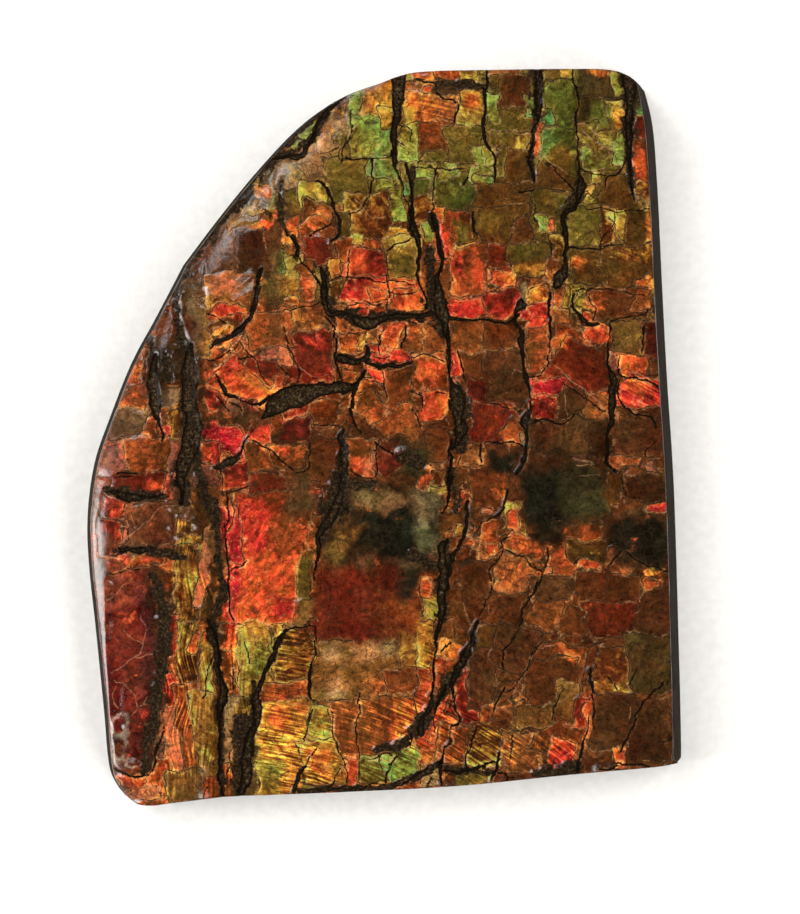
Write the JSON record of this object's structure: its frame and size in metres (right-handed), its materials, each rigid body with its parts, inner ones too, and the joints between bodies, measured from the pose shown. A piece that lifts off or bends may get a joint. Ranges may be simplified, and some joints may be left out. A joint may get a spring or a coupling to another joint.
{
  "type": "ammolite specimen",
  "caption": "Sawn and polished slab of dark shale with an iridescent, cracked fossil shell face, a rounded shoulder on one side and a flat back to rest on.",
  "frame": {"origin": "middle of the flat back, on the surface that the slab rests on", "axes": "+Z out of the shell face, +Y up the slab's long way, +X towards its straight right edge"},
  "size_m": [0.0712, 0.088, 0.011],
  "materials": {
    "shell_on_shale": "polished iridescent shell over dark shale, clear gloss surface"
  },
  "bodies": {
    "root": {"ammolite_slab": "shell_on_shale"}
  },
  "joints": []
}
